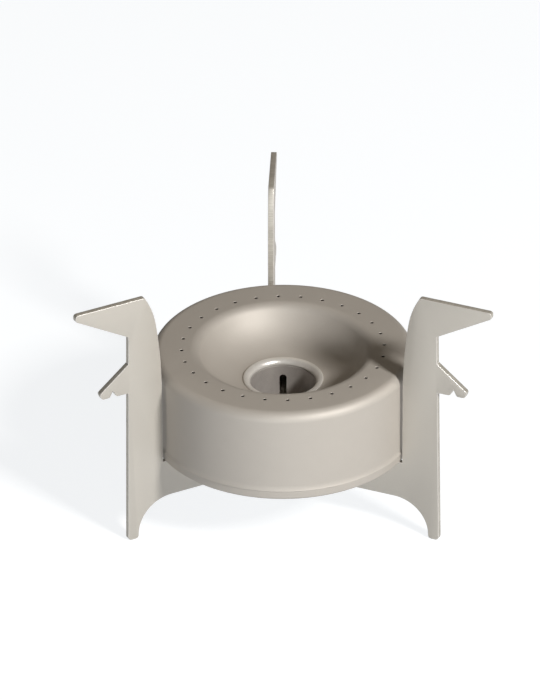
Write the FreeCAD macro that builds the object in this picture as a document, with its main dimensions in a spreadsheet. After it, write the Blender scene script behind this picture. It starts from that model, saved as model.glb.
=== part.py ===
# Spirit burner on a three-plate stand, in millimetres, +Z up.
# The origin is the middle of the well's floor, one sheet above the arms that carry the burner.
import FreeCAD, Part
import math
import os
import re
import Sketcher

doc = FreeCAD.newDocument("spirit_burner_stand")

# ---------------------------------------------------------------- driving sizes
SIZES = {
    # the three plates: they share one outline
    "plate_thickness": 1.5,
    "support_height": 69.6,      # pot rest above the floor
    "seat_height": 20.6,         # top of the arms, where the burner rests
    "arm_depth": 10.2,
    "upright_gap": 0.3,          # between the burner's lip and an upright
    "upright_width": 9.1,
    "upright_draft": 0.95,       # the outer edge leans out by this much on its way to the foot
    "foot_width": 2.95,
    "foot_sweep": 9.3,           # radius from the foot into the arm
    "foot_round": 0.95,
    "neck_height": 27.6,         # length of the curved inner edge below the pot rest
    "neck_bend_depth": 8.2,      # where it starts to curve harder
    "neck_bend_lean": 1.45,
    "neck_lean": 4.45,
    "neck_radius": 21.8,
    "neck_round": 0.8,
    "beak_reach": 14.5,          # past the upright
    "beak_tip_depth": 1.7,
    "beak_root_depth": 10.1,
    "beak_round": 0.8,
    "spur_gap": 7.8,             # between beak and spur, at the upright
    "spur_reach": 8.3,
    "spur_fall": 6.6,
    "spur_end_depth": 1.65,
    "spur_end_back": 0.7,
    "spur_finger": 2.15,
    "spur_round": 0.8,
    "notch_back": 0.85,          # from the finger to the notch's top
    "notch_height": 1.8,
    "lobe_back": 0.95,
    "lobe_depth": 1.9,
    "lobe_round": 1.0,
    # where the planes of the plates cross, and which way each plate points from there
    "crossing_x": -4.4,
    "crossing_y": -0.5,
    "left_turn": 207.5,
    "right_turn": 336.6,
    "back_turn": 87.6,
    "slot_clearance": 0.3,
    "tail_land": 4.2,            # metal left beyond the slot
    # burner shell: one pressing, from the lip over the deck to the mouth of the dish
    "sheet_thickness": 0.4,
    "burner_radius": 33.1,
    "burner_height": 24.5,
    "shoulder_radius": 2.5,
    "lip_flare": 0.4,
    "lip_height": 2.4,
    "lip_taper": 1.6,
    "deck_radius": 23.5,         # inner edge of the flat deck
    "deck_edge_radius": 3.2,
    "deck_edge_angle": 60.0,
    "dish_radius": 16.05,
    "dish_foot_angle": 14.7,
    "ledge_land": 0.75,          # of the flat ledge that shows outside the collar
    "ledge_depth": 9.1,
    "jet_count": 28,
    "jet_circle_radius": 25.6,
    "jet_diameter": 0.7,
    "jet_turn": 92.42,
    # base pan, pressed into the shell
    "pan_corner_radius": 1.0,
    "pan_wall_height": 8.0,
    "pan_joggle": 0.4,
    "pan_gap": 0.03,
    # fuel tube, with a rolled collar that sits on the dish
    "well_radius": 8.35,
    "collar_roll": 1.4,
    "collar_land": 0.4,
    "mouth_gap": 0.05,
    "port_count": 4,
    "port_width": 1.8,
    "port_depth": 13.0,          # top of a port below the deck
    "port_foot": 1.8,            # bottom of a port above the burner's bottom
    # wick ring, on the pan's floor round the tube
    "wick_inner_radius": 11.0,
    "wick_outer_radius": 30.5,
    "wick_height": 6.0,
}
sheet = doc.addObject("Spreadsheet::Sheet", "Sizes")
for row, (alias, size) in enumerate(SIZES.items(), start=1):
    sheet.set(f"A{row}", alias)
    sheet.set(f"B{row}", str(size))
    sheet.setAlias(f"B{row}", alias)
doc.recompute()


# ---------------------------------------------------------------- helpers
def cells(text):
    """The same sum, with each size's name pointing at its cell."""
    return re.sub(r"[a-z][a-z_]*", lambda m: f"Sizes.{m[0]}" if m[0] in SIZES else m[0], text)


def number(text):
    result = sheet.evalExpression(cells(text))
    return float(getattr(result, "Value", result))


def origin_part(body, role):
    return next(f for f in body.Origin.OriginFeatures if f.Role == role)


def new_body(label):
    body = doc.addObject("PartDesign::Body", label)
    body.Label = label
    return body


def new_sketch(body, name, role):
    sketch = body.newObject("Sketcher::SketchObject", name)
    sketch.AttachmentSupport = [(origin_part(body, role), "")]
    sketch.MapMode = "FlatFace"
    return sketch


def bind_point(sketch, geometry, where, x, y):
    """Tie a sketch point's place to the sheet; a zero puts it on the axis."""
    for kind, text, axis in (("DistanceX", x, -2), ("DistanceY", y, -1)):
        size = number(text)
        if abs(size) < 1e-9:
            sketch.addConstraint(Sketcher.Constraint("PointOnObject", geometry, where, axis))
            continue
        index = sketch.addConstraint(Sketcher.Constraint(kind, -1, 1, geometry, where, size))
        sketch.setExpression(f"Constraints[{index}]", cells(text))


def bind_radius(sketch, geometry, radius):
    index = sketch.addConstraint(Sketcher.Constraint("Radius", geometry, number(radius)))
    sketch.setExpression(f"Constraints[{index}]", cells(radius))


def short_arc(start, end, radius, side):
    """Arc between two points that bulges to the left (1) or the right (-1) of the way there."""
    chord = end - start
    half = chord.Length / 2
    rise = radius - math.sqrt(radius * radius - half * half)
    left = FreeCAD.Vector(-chord.y, chord.x, 0).normalize()
    middle = (start + end) * 0.5 + left * (rise * side)
    return Part.Arc(start, middle, end) if side < 0 else Part.Arc(end, middle, start)


def draw_outline(sketch, corners):
    """Closed outline of corners (x, y), or (x, y, radius, side) where an arc starts."""
    points = [FreeCAD.Vector(number(corner[0]), number(corner[1]), 0) for corner in corners]
    runs = []
    for index, corner in enumerate(corners):
        start, end = points[index], points[(index + 1) % len(points)]
        if len(corner) == 2:
            runs.append((sketch.addGeometry(Part.LineSegment(start, end)), 1, 2))
            continue
        radius, side = corner[2:]
        arc = sketch.addGeometry(short_arc(start, end, number(radius), side))
        runs.append((arc, 1, 2) if side < 0 else (arc, 2, 1))
    for index, (geometry, _, last) in enumerate(runs):
        following, first, _ = runs[(index + 1) % len(runs)]
        sketch.addConstraint(Sketcher.Constraint("Coincident", geometry, last, following, first))
    for (geometry, first, _), corner in zip(runs, corners):
        bind_point(sketch, geometry, first, corner[0], corner[1])
        if len(corner) == 4:
            bind_radius(sketch, geometry, corner[2])


def draw_circle(sketch, x, y, radius):
    place = FreeCAD.Vector(number(x), number(y), 0)
    circle = sketch.addGeometry(Part.Circle(place, FreeCAD.Vector(0, 0, 1), number(radius)))
    bind_point(sketch, circle, 3, x, y)
    bind_radius(sketch, circle, radius)


def draw_upright_slot(sketch, foot, top, width):
    """Round-ended slot, centred on the sketch's vertical axis."""
    low, high, half = number(foot), number(top), number(width) / 2
    corner = [FreeCAD.Vector(x, y, 0) for x, y in ((half, low), (half, high), (-half, high), (-half, low))]
    right = sketch.addGeometry(Part.LineSegment(corner[0], corner[1]))
    cap = sketch.addGeometry(short_arc(corner[1], corner[2], half * 1.0000001, -1))
    left = sketch.addGeometry(Part.LineSegment(corner[2], corner[3]))
    base = sketch.addGeometry(short_arc(corner[3], corner[0], half * 1.0000001, -1))
    for here, there in ((right, cap), (cap, left), (left, base), (base, right)):
        sketch.addConstraint(Sketcher.Constraint("Tangent", here, 2, there, 1))
    bind_point(sketch, cap, 3, "0", top)
    bind_point(sketch, base, 3, "0", foot)
    bind_radius(sketch, cap, f"({width}) / 2")


def finish_cut(body, feature, before):
    """A cut that removes nothing points the wrong way, so it stops the build."""
    body.Tip = feature
    doc.recompute()
    if feature.Shape.Volume > before - 1e-4:
        raise RuntimeError(f"{feature.Name} removes nothing")


def pocket(body, name, sketch, **settings):
    before = body.Shape.Volume
    cut = body.newObject("PartDesign::Pocket", name)
    cut.Profile = sketch
    cut.Type = "ThroughAll"
    for setting, value in settings.items():
        setattr(cut, setting, value)
    finish_cut(body, cut, before)
    return cut


def repeat_round(body, name, feature, count):
    before = body.Shape.Volume
    pattern = body.newObject("PartDesign::PolarPattern", name)
    pattern.Originals = [feature]
    pattern.Axis = (origin_part(body, "Z_Axis"), [""])
    pattern.Angle = 360
    pattern.setExpression("Occurrences", cells(count))
    finish_cut(body, pattern, before)


def revolve(body, corners):
    sketch = new_sketch(body, f"{body.Name}_profile", "XZ_Plane")
    draw_outline(sketch, corners)
    solid = body.newObject("PartDesign::Revolution", f"{body.Name}_turned")
    solid.Profile = sketch
    solid.ReferenceAxis = (sketch, ["V_Axis"])
    solid.Angle = 360
    doc.recompute()


def round_corners(body, name, corners, radius):
    """Round the edges that run through a plate's thickness at these outline corners."""
    base = body.Tip
    names = []
    for x, z in corners:
        spot = (number(x), number(z))
        for index, edge in enumerate(base.Shape.Edges, start=1):
            middle = edge.CenterOfMass
            through = abs(edge.BoundBox.YLength - edge.Length) < 1e-6
            if through and math.dist((middle.x, middle.z), spot) < 1e-4:
                names.append(f"Edge{index}")
    if len(names) != len(corners):
        raise RuntimeError(f"{name} finds {len(names)} of its {len(corners)} corners")
    fillet = body.newObject("PartDesign::Fillet", name)
    fillet.Base = (base, names)
    fillet.setExpression("Radius", cells(radius))
    body.Tip = fillet
    doc.recompute()


def place(body, x, y, z, turn):
    turned = FreeCAD.Rotation(FreeCAD.Vector(0, 0, 1), number(turn))
    body.Placement = FreeCAD.Placement(FreeCAD.Vector(), turned)
    body.setExpression("Placement.Base.x", cells(x))
    body.setExpression("Placement.Base.y", cells(y))
    body.setExpression("Placement.Base.z", cells(z))
    body.setExpression("Placement.Rotation.Angle", cells(turn))


# ---------------------------------------------------------------- stand
# Heights are above the floor. Distances run out from the plate's own tail, along the plate.
FLOOR = "-(seat_height + sheet_thickness)"
ARM_FOOT = "(seat_height - arm_depth)"
BEAK_ROOT = "(support_height - beak_root_depth)"
SPUR_ROOT = f"({BEAK_ROOT} - spur_gap)"
SPUR_END = f"({SPUR_ROOT} - spur_fall)"
FINGER_FOOT = f"({SPUR_END} - spur_end_depth)"
NOTCH_TOP = f"({FINGER_FOOT} + notch_height)"
LOBE_FOOT = f"({NOTCH_TOP} - lobe_depth)"
WIDEST_GAP = "max(right_turn - left_turn; left_turn - back_turn; back_turn + 360 - right_turn)"
SLOT_WIDTH = f"(plate_thickness * tan({WIDEST_GAP} / 2) + 2 * slot_clearance)"
TAIL = f"({SLOT_WIDTH} / 2 + tail_land)"


def plate_outline(turn):
    """The outline all plates share; only the distance from seat to crossing differs."""
    crossing = f"(crossing_x * cos({turn}) + crossing_y * sin({turn}))"
    seat = f"(burner_radius + lip_flare + upright_gap - {crossing} + {TAIL})"
    outer = f"({seat} + upright_width)"
    foot = f"({outer} + upright_draft)"

    def drafted(height):
        return f"{outer} + upright_draft * (1 - {height} / {BEAK_ROOT})"

    finger = f"({outer} + spur_reach - spur_end_back)"
    notch = f"({finger} - spur_finger - notch_back)"
    neck_fall = "(neck_height - neck_bend_depth)"
    lower_neck_radius = f"(neck_bend_lean ^ 2 + {neck_fall} ^ 2) / (2 * neck_bend_lean)"
    corner = {
        "tail_foot": ("0", ARM_FOOT),
        "sweep": (f"{foot} - foot_width - foot_sweep", ARM_FOOT, "foot_sweep", 1),
        "foot_inside": (f"{foot} - foot_width", f"{ARM_FOOT} - foot_sweep"),
        "toe_inside": (f"{foot} - foot_width", "0"),
        "toe_outside": (foot, "0"),
        "lobe_root": (drafted(LOBE_FOOT), LOBE_FOOT),
        "lobe_end": (f"{notch} - lobe_back", LOBE_FOOT),
        "notch": (notch, NOTCH_TOP),
        "finger_inside": (f"{finger} - spur_finger", FINGER_FOOT),
        "finger_outside": (finger, FINGER_FOOT),
        "spur_tip": (f"{outer} + spur_reach", SPUR_END),
        "spur_root": (drafted(SPUR_ROOT), SPUR_ROOT),
        "beak_root": (outer, BEAK_ROOT),
        "beak_low": (f"{outer} + beak_reach", "support_height - beak_tip_depth"),
        "beak_high": (f"{outer} + beak_reach", "support_height"),
        "neck_top": (f"{seat} + neck_lean", "support_height", "neck_radius", -1),
        "neck_bend": (f"{seat} + neck_bend_lean", "support_height - neck_bend_depth", lower_neck_radius, -1),
        "neck_foot": (seat, "support_height - neck_height"),
        "seat": (seat, "seat_height"),
        "tail_top": ("0", "seat_height"),
    }
    return corner


def cut_slot(body, name, foot, top):
    """Slot for the other plates, across the arm where the planes cross."""
    sketch = new_sketch(body, f"{name}_sketch", "XZ_Plane")
    near, far = "tail_land", f"tail_land + {SLOT_WIDTH}"
    draw_outline(sketch, [(near, foot), (far, foot), (far, top), (near, top)])
    pocket(body, name, sketch, Midplane=True)


def make_plate(label, turn, level):
    """Plate at slot level 0, 1 or 2: it keeps that third of its arm's depth at the crossing."""
    body = new_body(label)
    sketch = new_sketch(body, f"{label}_outline", "XZ_Plane")
    corner = plate_outline(turn)
    draw_outline(sketch, list(corner.values()))
    pad = body.newObject("PartDesign::Pad", f"{label}_sheet")
    pad.Profile = sketch
    pad.Midplane = True
    pad.setExpression("Length", cells("plate_thickness"))
    doc.recompute()
    rounds = {
        "foot_round": ("toe_inside", "toe_outside"),
        "spur_round": ("finger_inside", "finger_outside", "spur_tip"),
        "lobe_round": ("lobe_end",),
        "beak_round": ("beak_low", "beak_high"),
        "neck_round": ("neck_top",),
    }
    for radius, names in rounds.items():
        round_corners(body, f"{label}_{radius}", [corner[name][:2] for name in names], radius)
    if level > 0:
        roof = f"{ARM_FOOT} + {level} * arm_depth / 3 + slot_clearance / 2"
        cut_slot(body, f"{label}_lower_slot", f"{ARM_FOOT} - tail_land", roof)
    if level < 2:
        floor = f"{ARM_FOOT} + {level + 1} * arm_depth / 3 - slot_clearance / 2"
        cut_slot(body, f"{label}_upper_slot", floor, "seat_height + tail_land")
    start_x = f"crossing_x - {TAIL} * cos({turn})"
    start_y = f"crossing_y - {TAIL} * sin({turn})"
    place(body, start_x, start_y, FLOOR, turn)
    return body


# ---------------------------------------------------------------- burner
# Heights are above the burner's own bottom, which rests on the arms.
UNDERSIDE = "-sheet_thickness"
LEDGE = "(burner_height - ledge_depth)"
LEDGE_RADIUS = "(well_radius + collar_roll + collar_land + ledge_land)"
BAND_RADIUS = "(burner_radius + lip_flare / 2)"


def make_burner_shell():
    """Wall, shoulder, deck with its ring of jets, and the dish, pressed from one sheet."""
    body = new_body("burner_shell")
    wall_inside = "burner_radius - sheet_thickness"
    deck_under = "burner_height - sheet_thickness"
    edge_x = "(deck_radius - deck_edge_radius * sin(deck_edge_angle))"
    edge_z = "(burner_height - deck_edge_radius * (1 - cos(deck_edge_angle)))"
    mouth = "well_radius + collar_roll + mouth_gap"
    revolve(body, [
        ("burner_radius + lip_flare", "lip_height"),
        ("burner_radius", "lip_height + lip_taper"),
        ("burner_radius", "burner_height - shoulder_radius", "shoulder_radius", -1),
        ("burner_radius - shoulder_radius", "burner_height"),
        ("deck_radius", "burner_height", "deck_edge_radius", -1),
        (edge_x, edge_z, "dish_radius", 1),
        (LEDGE_RADIUS, LEDGE),
        (mouth, LEDGE),
        (mouth, f"{LEDGE} - sheet_thickness"),
        (f"{LEDGE_RADIUS} + sheet_thickness * sin(dish_foot_angle)",
         f"{LEDGE} - sheet_thickness * cos(dish_foot_angle)", "dish_radius + sheet_thickness", -1),
        (f"{edge_x} + sheet_thickness * sin(deck_edge_angle)",
         f"{edge_z} - sheet_thickness * cos(deck_edge_angle)", "deck_edge_radius - sheet_thickness", 1),
        ("deck_radius", deck_under),
        ("burner_radius - shoulder_radius", deck_under, "shoulder_radius - sheet_thickness", 1),
        (wall_inside, "burner_height - shoulder_radius"),
        (wall_inside, "lip_height + lip_taper"),
        (f"{wall_inside} + lip_flare", "lip_height"),
    ])
    sketch = new_sketch(body, "jet_sketch", "XY_Plane")
    draw_circle(sketch, "jet_circle_radius", "0", "jet_diameter / 2")
    jet = pocket(body, "jet", sketch, Reversed=True)
    repeat_round(body, "jet_ring", jet, "jet_count")
    place(body, "0", "0", UNDERSIDE, "jet_turn")
    return body


def make_base_pan():
    """Pan that closes the shell from below: its joggled wall is pressed up inside the shell."""
    body = new_body("base_pan")
    wall = "(burner_radius - sheet_thickness - pan_gap)"
    revolve(body, [
        ("0", "0"),
        (f"{BAND_RADIUS} - pan_corner_radius", "0", "pan_corner_radius", -1),
        (BAND_RADIUS, "pan_corner_radius"),
        (BAND_RADIUS, "lip_height"),
        (wall, "lip_height"),
        (wall, "pan_wall_height"),
        (f"{wall} - sheet_thickness", "pan_wall_height"),
        (f"{wall} - sheet_thickness", "lip_height - pan_joggle"),
        (f"{BAND_RADIUS} - sheet_thickness", "lip_height - pan_joggle"),
        (f"{BAND_RADIUS} - sheet_thickness", "pan_corner_radius", "pan_corner_radius - sheet_thickness", 1),
        (f"{BAND_RADIUS} - pan_corner_radius", "sheet_thickness"),
        ("0", "sheet_thickness"),
    ])
    place(body, "0", "0", UNDERSIDE, "0")
    return body


def make_fuel_tube():
    """Tube of the filling well: a rolled collar on the dish, and ports that feed the chamber."""
    body = new_body("fuel_tube")
    outside = "well_radius + sheet_thickness"
    roll_top = f"({LEDGE} + sheet_thickness)"
    revolve(body, [
        ("well_radius", "sheet_thickness"),
        (outside, "sheet_thickness"),
        (outside, f"{roll_top} - collar_roll", "collar_roll - sheet_thickness", 1),
        ("well_radius + collar_roll", LEDGE),
        ("well_radius + collar_roll + collar_land", LEDGE),
        ("well_radius + collar_roll + collar_land", roll_top),
        ("well_radius + collar_roll", roll_top, "collar_roll", -1),
        ("well_radius", f"{roll_top} - collar_roll"),
    ])
    sketch = new_sketch(body, "port_sketch", "XZ_Plane")
    top = "burner_height - port_depth - port_width / 2"
    draw_upright_slot(sketch, "port_foot + port_width / 2", top, "port_width")
    port = pocket(body, "port", sketch)
    repeat_round(body, "port_ring", port, "port_count")
    place(body, "0", "0", UNDERSIDE, "0")
    return body


def make_wick_ring():
    """Felt ring that lies in the sealed chamber and carries fuel outwards under the jets."""
    body = new_body("wick_ring")
    revolve(body, [
        ("wick_inner_radius", "sheet_thickness"),
        ("wick_outer_radius", "sheet_thickness"),
        ("wick_outer_radius", "sheet_thickness + wick_height"),
        ("wick_inner_radius", "sheet_thickness + wick_height"),
    ])
    place(body, "0", "0", UNDERSIDE, "0")
    return body


bodies = [
    make_plate("left_leg_plate", "left_turn", 0),
    make_plate("right_leg_plate", "right_turn", 1),
    make_plate("back_leg_plate", "back_turn", 2),
    make_burner_shell(),
    make_base_pan(),
    make_fuel_tube(),
    make_wick_ring(),
]

# ---------------------------------------------------------------- check and write
doc.recompute()
for item in doc.Objects:
    if any(state in ("Invalid", "Error") for state in item.State):
        raise RuntimeError(f"{item.Name} is {item.State}")
os.makedirs("parts", exist_ok=True)
for body in bodies:
    shape = body.Shape
    if shape.isNull() or not shape.isValid() or len(shape.Solids) != 1:
        raise RuntimeError(f"{body.Label} is not one valid solid")
    shape.exportStep(f"parts/{body.Label}.step")
    print(f"{body.Label}: {shape.Volume:.1f} mm3")
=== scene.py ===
import math

import bmesh
import bpy
from mathutils import Matrix, Vector


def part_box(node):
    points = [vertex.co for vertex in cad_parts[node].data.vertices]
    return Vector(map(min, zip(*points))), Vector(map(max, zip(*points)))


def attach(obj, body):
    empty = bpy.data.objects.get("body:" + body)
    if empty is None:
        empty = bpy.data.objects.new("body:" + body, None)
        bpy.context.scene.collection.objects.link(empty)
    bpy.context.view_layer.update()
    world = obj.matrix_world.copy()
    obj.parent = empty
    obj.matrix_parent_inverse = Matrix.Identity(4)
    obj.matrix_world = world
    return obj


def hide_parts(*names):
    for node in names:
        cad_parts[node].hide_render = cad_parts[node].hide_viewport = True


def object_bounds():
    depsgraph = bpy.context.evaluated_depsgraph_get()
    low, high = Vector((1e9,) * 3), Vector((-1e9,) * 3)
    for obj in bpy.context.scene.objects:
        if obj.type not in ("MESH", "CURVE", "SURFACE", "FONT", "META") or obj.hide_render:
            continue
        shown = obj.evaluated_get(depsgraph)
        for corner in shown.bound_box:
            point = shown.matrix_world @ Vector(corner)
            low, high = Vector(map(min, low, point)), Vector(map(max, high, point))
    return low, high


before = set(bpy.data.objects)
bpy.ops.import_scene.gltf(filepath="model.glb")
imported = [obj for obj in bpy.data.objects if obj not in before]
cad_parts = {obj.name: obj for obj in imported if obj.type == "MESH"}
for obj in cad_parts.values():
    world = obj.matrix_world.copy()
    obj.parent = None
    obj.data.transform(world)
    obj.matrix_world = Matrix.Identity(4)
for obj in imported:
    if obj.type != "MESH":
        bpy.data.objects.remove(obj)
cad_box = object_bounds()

# ---------------------------------------------------------------- leg plates
# Three flat legs cut from 1.5 mm titanium plate. They are tumbled, which softens the cut edges, and
# blasted matt. Slots lock them together under the burner, and they lift apart to be packed flat.
PLATES = {
    "left_leg_plate": ("left_leg", "left_plate", 207.5),
    "right_leg_plate": ("right_leg", "right_plate", 336.6),
    "back_leg_plate": ("back_leg", "back_plate", 87.6),
}
EDGE_SOFTENING = 0.00013
CORNER = math.radians(40)
FLAT = math.radians(0.5)
METAL = 0.3
METAL_IOR = 2.0
PLATE_LIGHT = (0.55, 0.515, 0.46, 1)
PLATE_DARK = (0.48, 0.447, 0.40, 1)
WORN_LIGHT = (0.74, 0.71, 0.67, 1)
WORN_DARK = (0.62, 0.59, 0.55, 1)
CUT_LIGHT = (0.60, 0.57, 0.51, 1)
CUT_DARK = (0.46, 0.43, 0.38, 1)


class Wire:
    """An output in a material's node tree. Sums of wires and numbers add their Math nodes."""

    def __init__(self, tree, output=None):
        self.tree = tree
        self.output = output

    def node(self, kind, settings, sockets, output=0):
        """Adds a node with its settings, and its sockets set to numbers or fed by wires."""
        made = self.tree.nodes.new(kind)
        for name, value in settings.items():
            setattr(made, name, value)
        for name, value in sockets.items():
            if isinstance(value, Wire):
                self.tree.links.new(value.output, made.inputs[name])
            else:
                made.inputs[name].default_value = value
        return Wire(self.tree, made.outputs[output])

    def sum(self, operation, first, second):
        return self.node("ShaderNodeMath", {"operation": operation}, {0: first, 1: second})

    def __add__(self, other):
        return self.sum("ADD", self, other)

    def __radd__(self, other):
        return self.sum("ADD", other, self)

    def __sub__(self, other):
        return self.sum("SUBTRACT", self, other)

    def __rsub__(self, other):
        return self.sum("SUBTRACT", other, self)

    def __mul__(self, other):
        return self.sum("MULTIPLY", self, other)

    def __rmul__(self, other):
        return self.sum("MULTIPLY", other, self)

    def span(self, low, high):
        """0 below low and 1 above high, with a soft step between."""
        settings = {"interpolation_type": "SMOOTHSTEP"}
        return self.node("ShaderNodeMapRange", settings, {"Value": self, "From Min": low, "From Max": high})

    def noise(self, scale, detail=2.0, roughness=0.5):
        sockets = {"Vector": self, "Scale": scale, "Detail": detail, "Roughness": roughness}
        return self.node("ShaderNodeTexNoise", {}, sockets)

    def blend(self, low, high):
        """Colour between low and high, by this wire."""
        return self.node("ShaderNodeMix", {"data_type": "RGBA"}, {"Factor": self, 6: low, 7: high}, 2)

    def drawn_out(self, turn, lengths=(1, 1, 1)):
        """These coordinates turned back by degrees about the upright axis, with patterns drawn out."""
        sockets = {"Vector": self, "Rotation": (0, 0, math.radians(turn)), "Scale": lengths}
        return self.node("ShaderNodeMapping", {"vector_type": "TEXTURE"}, sockets)

    def part(self, axis):
        return self.node("ShaderNodeSeparateXYZ", {}, {"Vector": self}, axis)

    def bump(self, strength, distance, under=None):
        sockets = {"Height": self, "Strength": strength, "Distance": distance}
        if under:
            sockets["Normal"] = under
        return self.node("ShaderNodeBump", {}, sockets)


def new_material(name):
    """A material with its shader, and the object's coordinates to build on."""
    material = bpy.data.materials.new(name)
    material.use_nodes = True
    shader = material.node_tree.nodes["Principled BSDF"]
    place = Wire(material.node_tree).node("ShaderNodeTexCoord", {}, {}, "Object")
    return material, shader, place


def drive(shader, wires):
    """Feeds the shader's named sockets from wires."""
    for name, wire in wires.items():
        wire.tree.links.new(wire.output, shader.inputs[name])


def blasted_metal(name, light, dark, roughness, grain, cloud):
    """Bead-blasted titanium: a fine even grain of dents, with faint clouds of tone from handling."""
    material, shader, place = new_material(name)
    shader.inputs["Metallic"].default_value = METAL
    shader.inputs["IOR"].default_value = METAL_IOR
    dents = place.noise(grain, 3.0, 0.65)
    clouds = place.noise(cloud, 4.0, 0.55)
    rubs = place.noise(cloud * 5, 2.0, 0.6)
    waves = place.noise(grain * 0.28, 2.0, 0.5)
    tone = clouds * 0.35 + rubs * 0.25 + dents * 0.40
    drive(shader, {
        "Base Color": tone.blend(dark, light),
        "Roughness": roughness + (clouds - 0.5) * 0.06 + (dents - 0.5) * 0.12,
        "Normal": dents.bump(0.55, 0.00004, under=waves.bump(0.25, 0.00006)),
    })
    return material


def cut_metal(name, light, dark, turn):
    """A cut edge: fine ridges across the plate's thickness, duller than the faces."""
    material, shader, place = new_material(name)
    shader.inputs["Metallic"].default_value = 0.45
    across = place.drawn_out(turn, (1, 16, 1))
    ridges = across.noise(3200, 2.0, 0.6)
    patches = place.noise(260, 3.0, 0.5)
    drive(shader, {
        "Base Color": (ridges * 0.55 + patches * 0.45).span(0.35, 0.66).blend(dark, light),
        "Roughness": 0.50 + (patches - 0.5) * 0.15,
        "Normal": ridges.bump(0.5, 0.00005),
    })
    return material


def soften(mesh):
    """Smooth shading that breaks only at real corners."""
    mesh.polygons.foreach_set("use_smooth", [True] * len(mesh.polygons))
    mesh.set_sharp_from_angle(angle=math.radians(32))


def new_piece(bm, name, materials):
    mesh = bpy.data.meshes.new(name)
    bm.to_mesh(mesh)
    bm.free()
    for material in materials:
        mesh.materials.append(material)
    soften(mesh)
    piece = bpy.data.objects.new(name, mesh)
    bpy.context.scene.collection.objects.link(piece)
    return piece


plate_face = blasted_metal("plate_face_titanium", PLATE_LIGHT, PLATE_DARK, 0.52, 3000, 45)
plate_edge = blasted_metal("plate_worn_edge", WORN_LIGHT, WORN_DARK, 0.36, 2600, 300)

for node, (name, body, turn) in PLATES.items():
    bm = bmesh.new()
    bm.from_mesh(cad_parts[node].data)
    bmesh.ops.remove_doubles(bm, verts=bm.verts, dist=0.000002)
    bmesh.ops.dissolve_limit(bm, angle_limit=FLAT, verts=bm.verts, edges=bm.edges)
    facing = Vector((math.sin(math.radians(turn)), -math.cos(math.radians(turn)), 0))
    for face in bm.faces:
        face.material_index = 0 if abs(face.normal.dot(facing)) > 0.9 else 2
    corners = [edge for edge in bm.edges if edge.calc_face_angle(0) > CORNER]
    rounded = bmesh.ops.bevel(bm, geom=corners, offset=EDGE_SOFTENING, offset_type="OFFSET",
                              affect="EDGES", segments=3, profile=0.5, material=-1, clamp_overlap=True)
    for face in rounded["faces"]:
        face.material_index = 1
    cut_edge = cut_metal(f"{name}_cut_edge", CUT_LIGHT, CUT_DARK, turn)
    leg = new_piece(bm, name, (plate_face, plate_edge, cut_edge))
    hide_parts(node)
    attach(leg, body)

# ---------------------------------------------------------------- base pan
# A shallow pan pressed from 0.4 mm titanium sheet. It closes the burner from below: its wall steps in
# and is pressed up inside the shell, and its round-cornered band shows under the shell's lip.
TURNS = 168
SHEET = 0.4
PAN_RADIUS = 33.3
PAN_CORNER = 0.6
LIP_HEIGHT = 2.4
INNER_WALL = 32.67
INNER_WALL_TOP = 8.0
SHELL_LIGHT = (0.53, 0.488, 0.44, 1)
SHELL_DARK = (0.45, 0.413, 0.37, 1)
UNDERSIDE = -SHEET


def turned(start, moves, rounds=(), steps=TURNS):
    """Revolves a closed profile of millimetres: the point goes straight to (radius, height), or
    clockwise round a centre (radius, height, degrees). Corners in rounds get (place, offset)."""
    bm = bmesh.new()
    point = bmesh.ops.create_vert(bm, co=(start[0], 0, start[1]))["vert"][0]
    for radius, height, *sweep in moves:
        if sweep:
            swept = bmesh.ops.spin(bm, geom=[point], cent=(radius, 0, height), axis=(0, 1, 0),
                                   angle=math.radians(sweep[0]), steps=max(3, round(abs(sweep[0]) / 5)))
            point = next(v for v in swept["geom_last"] if isinstance(v, bmesh.types.BMVert))
        else:
            point = bmesh.ops.extrude_vert_indiv(bm, verts=[point])["verts"][0]
            point.co = (radius, 0, height)
    bmesh.ops.remove_doubles(bm, verts=bm.verts, dist=0.001)
    for place, offset in rounds:
        corner = min(bm.verts, key=lambda v: (v.co - Vector((place[0], 0, place[1]))).length)
        bmesh.ops.bevel(bm, geom=[corner], offset=offset, offset_type="OFFSET", affect="VERTICES",
                        segments=4, profile=0.5, material=-1)
    bmesh.ops.spin(bm, geom=bm.verts[:] + bm.edges[:], cent=(0, 0, 0), axis=(0, 0, 1),
                   angle=math.tau, steps=steps, use_merge=True)
    bmesh.ops.translate(bm, verts=bm.verts, vec=(0, 0, UNDERSIDE))
    bmesh.ops.scale(bm, verts=bm.verts, vec=(0.001, 0.001, 0.001))
    bmesh.ops.remove_doubles(bm, verts=bm.verts, dist=0.000001)
    bmesh.ops.recalc_face_normals(bm, faces=bm.faces)
    return bm


pressed_sheet = blasted_metal("blasted_sheet_titanium", SHELL_LIGHT, SHELL_DARK, 0.62, 3400, 60)

bm = turned((0, 0), [
    (PAN_RADIUS - PAN_CORNER, 0), (PAN_RADIUS - PAN_CORNER, PAN_CORNER, -90), (PAN_RADIUS, LIP_HEIGHT),
    (INNER_WALL, LIP_HEIGHT), (INNER_WALL, INNER_WALL_TOP), (INNER_WALL - SHEET, INNER_WALL_TOP),
    (INNER_WALL - SHEET, LIP_HEIGHT - SHEET), (PAN_RADIUS - SHEET, LIP_HEIGHT - SHEET),
    (PAN_RADIUS - SHEET, PAN_CORNER), (PAN_RADIUS - PAN_CORNER, PAN_CORNER, 90), (0, SHEET),
], rounds=[((INNER_WALL, INNER_WALL_TOP), 0.12), ((INNER_WALL - SHEET, INNER_WALL_TOP), 0.12)])
pan = new_piece(bm, "pan", (pressed_sheet,))
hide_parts("base_pan")
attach(pan, "burner")

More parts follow.
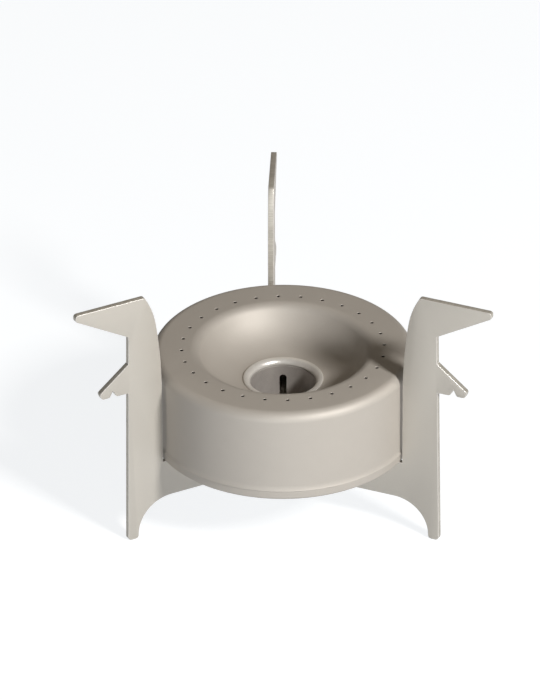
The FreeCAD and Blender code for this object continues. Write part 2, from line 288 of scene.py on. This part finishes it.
# ---------------------------------------------------------------- wick ring
# A ring of needled glass-fibre felt. It lies loose on the pan's floor, round the filling well, and
# carries the fuel outwards to where it boils under the jets.
WICK_INNER = 11.0
WICK_OUTER = 30.5
WICK_TOP = 6.4
WICK_ROUND = 0.9
FELT_LIGHT = (0.86, 0.84, 0.79, 1)
FELT_DARK = (0.60, 0.57, 0.50, 1)

felt, shader, place = new_material("glass_fibre_felt")
fibres = place.drawn_out(35, (1, 4, 1)).noise(2200, 6.0, 0.75)
tufts = place.noise(350, 3.0, 0.6)
shader.inputs["Specular IOR Level"].default_value = 0.2
shader.inputs["Sheen Weight"].default_value = 0.3
drive(shader, {
    "Base Color": (fibres * 0.6 + tufts * 0.4).span(0.3, 0.7).blend(FELT_DARK, FELT_LIGHT),
    "Roughness": 0.86 + fibres * 0.10,
    "Normal": fibres.bump(0.9, 0.0003, under=tufts.bump(0.6, 0.0005)),
})

bm = turned((WICK_INNER, SHEET), [
    (WICK_OUTER, SHEET), (WICK_OUTER, WICK_TOP), (WICK_INNER, WICK_TOP), (WICK_INNER, SHEET),
], rounds=[((WICK_OUTER, WICK_TOP), WICK_ROUND), ((WICK_INNER, WICK_TOP), WICK_ROUND)], steps=84)
wick = new_piece(bm, "felt_wick", (felt,))
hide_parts("wick_ring")
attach(wick, "burner")

# ---------------------------------------------------------------- fuel tube
# The filling well: a drawn titanium tube that stands on the pan's floor. Its upper end is rolled over
# into a collar that sits on the dish, and four tall round-ended ports let the fuel out to the wick.
WELL = 8.35
ROLL = 1.4
COLLAR_TOP = 15.8
COLLAR_EDGE = 10.15
PORT_WIDTH = 1.8
PORT_FOOT = 2.7
PORT_TOP = 10.6
TUBE_LIGHT = (0.48, 0.445, 0.415, 1)
TUBE_DARK = (0.38, 0.35, 0.33, 1)
# Painted highlight: the rolled collar is coloured much lighter than the tube below it, standing in for the
# light its roll catches.
COLLAR_HIGHLIGHT_LIGHT = (0.76, 0.73, 0.69, 1)
COLLAR_HIGHLIGHT_DARK = (0.66, 0.63, 0.59, 1)

drawn_tube, shader, place = new_material("drawn_tube_titanium")
shader.inputs["Metallic"].default_value = METAL
shader.inputs["IOR"].default_value = METAL_IOR
draw_lines = place.drawn_out(0, (1, 1, 20)).noise(2600, 3.0, 0.6)
grain = place.noise(3600, 2.0, 0.6)
stain = place.noise(150, 4.0, 0.55)
# Above 14 mm, on the collar's roll, the colour steps up to the lighter pair: a painted highlight.
collar_highlight_mask = place.part("Z").span(0.0138, 0.0142)
drive(shader, {
    "Base Color": (stain * 0.7 + grain * 0.3).span(0.35, 0.65).blend(
        collar_highlight_mask.blend(TUBE_DARK, COLLAR_HIGHLIGHT_DARK), collar_highlight_mask.blend(TUBE_LIGHT, COLLAR_HIGHLIGHT_LIGHT)),
    "Roughness": 0.34 + (draw_lines - 0.5) * 0.12 + (stain - 0.5) * 0.10,
    "Normal": draw_lines.bump(0.35, 0.00003, under=grain.bump(0.35, 0.00003)),
})


def cut_out(piece, bm):
    """Cuts a tool of holes out of a piece."""
    mesh = bpy.data.meshes.new("tool")
    bm.to_mesh(mesh)
    bm.free()
    tool = bpy.data.objects.new("tool", mesh)
    bpy.context.scene.collection.objects.link(tool)
    cut = piece.modifiers.new("holes", "BOOLEAN")
    cut.operation = "DIFFERENCE"
    cut.solver = "EXACT"
    cut.object = tool
    bpy.context.view_layer.update()
    whole = piece.evaluated_get(bpy.context.evaluated_depsgraph_get())
    holed = bpy.data.meshes.new_from_object(whole)
    piece.modifiers.clear()
    piece.data = holed
    soften(holed)
    bpy.data.objects.remove(tool)


roll_radius, roll_height = WELL + ROLL, COLLAR_TOP - ROLL
bm = turned((WELL, SHEET), [
    (WELL + SHEET, SHEET), (WELL + SHEET, roll_height), (roll_radius, roll_height, 90),
    (COLLAR_EDGE, COLLAR_TOP - SHEET), (COLLAR_EDGE, COLLAR_TOP), (roll_radius, COLLAR_TOP),
    (roll_radius, roll_height, -90),
    # A fine groove is left where the roll starts.
    (WELL + 0.15, 14.3), (WELL + 0.15, 14.1), (WELL, 14.0), (WELL, SHEET),
], rounds=[((COLLAR_EDGE, COLLAR_TOP), 0.32)], steps=96)
tube = new_piece(bm, "well_tube", (drawn_tube,))

ports = bmesh.new()
for turn in (0, 90, 180, 270):
    made = bmesh.ops.create_cube(ports, size=1)["verts"]
    height = PORT_TOP - PORT_FOOT + PORT_WIDTH
    bmesh.ops.scale(ports, verts=made, vec=(PORT_WIDTH, 4, height))
    bmesh.ops.translate(ports, verts=made, vec=(0, -8.6, (PORT_TOP + PORT_FOOT) / 2 + UNDERSIDE))
    bmesh.ops.rotate(ports, verts=made, cent=(0, 0, 0), matrix=Matrix.Rotation(math.radians(turn), 3, "Z"))
lengthwise = [e for e in ports.edges if abs(e.verts[0].co.z - e.verts[1].co.z) < 0.01 and e.calc_length() > 3]
bmesh.ops.bevel(ports, geom=lengthwise, offset=PORT_WIDTH / 2 - 0.004, offset_type="OFFSET", affect="EDGES",
                segments=8, profile=0.5, material=-1)
bmesh.ops.scale(ports, verts=ports.verts, vec=(0.001, 0.001, 0.001))
cut_out(tube, ports)
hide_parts("fuel_tube")
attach(tube, "burner")

# ---------------------------------------------------------------- burner shell
# One pressing of 0.4 mm titanium: a straight wall with a flared lip, a rounded shoulder, a flat deck,
# and a deep dish. Twenty-eight jets are pierced through the deck, and the whole shell is bead-blasted.
WALL = 33.1
LIP = 33.5
FLARE_TOP = 4.0
FLARE_CENTRE = 36.5
FLARE_SWEEP = 28.07
DECK = 24.5
SHOULDER = 2.5
DISH_EDGE = 23.5
DISH_EDGE_ROUND = 3.2
DISH_CENTRE = (6.83, 30.925)
DISH_SWEEP = 45.3
MOUTH = 9.8
SEAT = COLLAR_TOP - SHEET
JETS = 28
JET_CIRCLE = 25.6
JET_TURN = 92.42
JET_RADIUS = 0.40
JET_FLARE = 1.4
JET_UNDERCUT = 0.95

deck_edge, wall_top, edge_height = WALL - SHOULDER, DECK - SHOULDER, DECK - DISH_EDGE_ROUND
bm = turned((LIP, LIP_HEIGHT), [
    # Outside: the flare, the wall and the shoulder.
    (FLARE_CENTRE, FLARE_TOP, FLARE_SWEEP), (WALL, wall_top), (deck_edge, wall_top, -90),
    # The deck is in rings, so that the jets' cuts don't bend its shading.
    (30.4, DECK), (26.5, DECK), (24.7, DECK), (23.7, DECK), (DISH_EDGE, DECK),
    # The dish, down to the seat under the collar, and back up on its inside.
    (DISH_EDGE, edge_height, -60), (*DISH_CENTRE, DISH_SWEEP), (MOUTH, SEAT), (MOUTH, SEAT - SHEET),
    (11.0, 15.013), (*DISH_CENTRE, -DISH_SWEEP), (21.075, 22.7), (DISH_EDGE, edge_height, 60),
    (24.7, DECK - SHEET), (26.5, DECK - SHEET), (deck_edge, DECK - SHEET), (deck_edge, wall_top, 90),
    (WALL - SHEET, FLARE_TOP), (WALL, LIP_HEIGHT), (LIP, LIP_HEIGHT),
], rounds=[((LIP, LIP_HEIGHT), 0.1), ((WALL, LIP_HEIGHT), 0.1)])
shell = new_piece(bm, "shell", (pressed_sheet,))

jets = bmesh.new()
for count in range(JETS):
    made = bmesh.ops.create_cone(jets, cap_ends=True, segments=16, radius1=JET_UNDERCUT,
                                 radius2=JET_RADIUS, depth=0.5)["verts"]
    bmesh.ops.translate(jets, verts=made, vec=(JET_CIRCLE, 0, DECK - 0.35 + UNDERSIDE))
    top = next(f for f in jets.faces if f.normal.z > 0.9 and f.verts[0] in made)
    mouth = bmesh.ops.extrude_face_region(jets, geom=[top])["geom"]
    rim = [v for v in mouth if isinstance(v, bmesh.types.BMVert)]
    bmesh.ops.delete(jets, geom=[top], context="FACES_ONLY")
    bmesh.ops.translate(jets, verts=rim, vec=(0, 0, 0.15))
    bmesh.ops.scale(jets, verts=rim, vec=(JET_FLARE, JET_FLARE, 1),
                    space=Matrix.Translation((-JET_CIRCLE, 0, 0)))
    spread = Matrix.Rotation(math.radians(JET_TURN) + math.tau * count / JETS, 3, "Z")
    bmesh.ops.rotate(jets, verts=made + rim, cent=(0, 0, 0), matrix=spread)
bmesh.ops.scale(jets, verts=jets.verts, vec=(0.001, 0.001, 0.001))
bmesh.ops.recalc_face_normals(jets, faces=jets.faces)
cut_out(shell, jets)
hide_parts("burner_shell")
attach(shell, "burner")

# ---------------------------------------------------------------- floor, light and camera
# A plain white sweep under the stand, which throws no light back up. The key light is high to the front
# right, a wide fill is low in front, and a weak warm one is behind. The lens is long.
PAPER_LIGHT = (0.27, 0.27, 0.27, 1)
PAPER_DARK = (0.24, 0.24, 0.24, 1)
PAPER_GLOW = (0.96, 0.98, 1, 1)
FLOOR_HALF_WIDTH = 4
LIGHT_DISTANCE = 0.9
NEUTRAL = (1.0, 0.985, 0.955)
WARM = (1.0, 0.84, 0.64)
COOL = (0.92, 0.97, 1.0)
CAMERA_RISE = 30.81
CAMERA_ROLL = -0.316
CAMERA_OFFSET = (-0.00327, -0.00066, 1.856)

floor_white, shader, place = new_material("white_paper")
shader.inputs["Emission Color"].default_value = PAPER_GLOW
shader.inputs["Emission Strength"].default_value = 0.87
drive(shader, {
    "Base Color": place.noise(8).blend(PAPER_DARK, PAPER_LIGHT),
    "Roughness": 0.8 + place.noise(40) * 0.1,
})
bm = bmesh.new()
bmesh.ops.create_grid(bm, x_segments=1, y_segments=1, size=FLOOR_HALF_WIDTH)
bmesh.ops.translate(bm, verts=bm.verts, vec=(0, 0, cad_box[0].z))
floor = new_piece(bm, "floor", (floor_white,))
floor.visible_diffuse = False

world = bpy.data.worlds.new("studio")
world.use_nodes = True
world.node_tree.nodes["Background"].inputs["Color"].default_value = (1.0, 0.86, 0.68, 1)
world.node_tree.nodes["Background"].inputs["Strength"].default_value = 0.05
bpy.context.scene.world = world


def softbox(name, azimuth, elevation, size, power, colour):
    """An area light that faces the burner; azimuth 0 is in front, 90 to the right."""
    lamp = bpy.data.lights.new(name, "AREA")
    lamp.size = size
    lamp.energy = power
    lamp.color = colour
    light = bpy.data.objects.new(name, lamp)
    turn, rise = math.radians(azimuth), math.radians(elevation)
    away = Vector((math.sin(turn) * math.cos(rise), -math.cos(turn) * math.cos(rise), math.sin(rise)))
    light.location = away * LIGHT_DISTANCE
    light.rotation_mode = "QUATERNION"
    light.rotation_quaternion = away.to_track_quat("Z", "Y")
    bpy.context.scene.collection.objects.link(light)


softbox("key_light", 43, 37, 0.13, 7.9, NEUTRAL)
softbox("upper_fill", 190, 58, 0.5, 0.4, WARM)
softbox("front_fill", -5, 4, 0.6, 3.7, COOL)

# The camera stands off from the middle of the deck, turned by its rise and its slight roll.
deck = Vector((0, 0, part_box("burner_shell")[1].z))
aim = (Matrix.Rotation(math.pi / 2 - math.radians(CAMERA_RISE), 3, "X")
       @ Matrix.Rotation(math.radians(CAMERA_ROLL), 3, "Z"))
camera = bpy.data.objects.new("camera", bpy.data.cameras.new("camera"))
bpy.context.scene.collection.objects.link(camera)
camera.data.lens = 378.8
camera.data.sensor_width = 36
camera.rotation_mode = "QUATERNION"
camera.rotation_quaternion = aim.to_quaternion()
camera.location = deck + aim @ Vector(CAMERA_OFFSET)
bpy.context.scene.camera = camera
bpy.context.scene.view_settings.view_transform = "Standard"
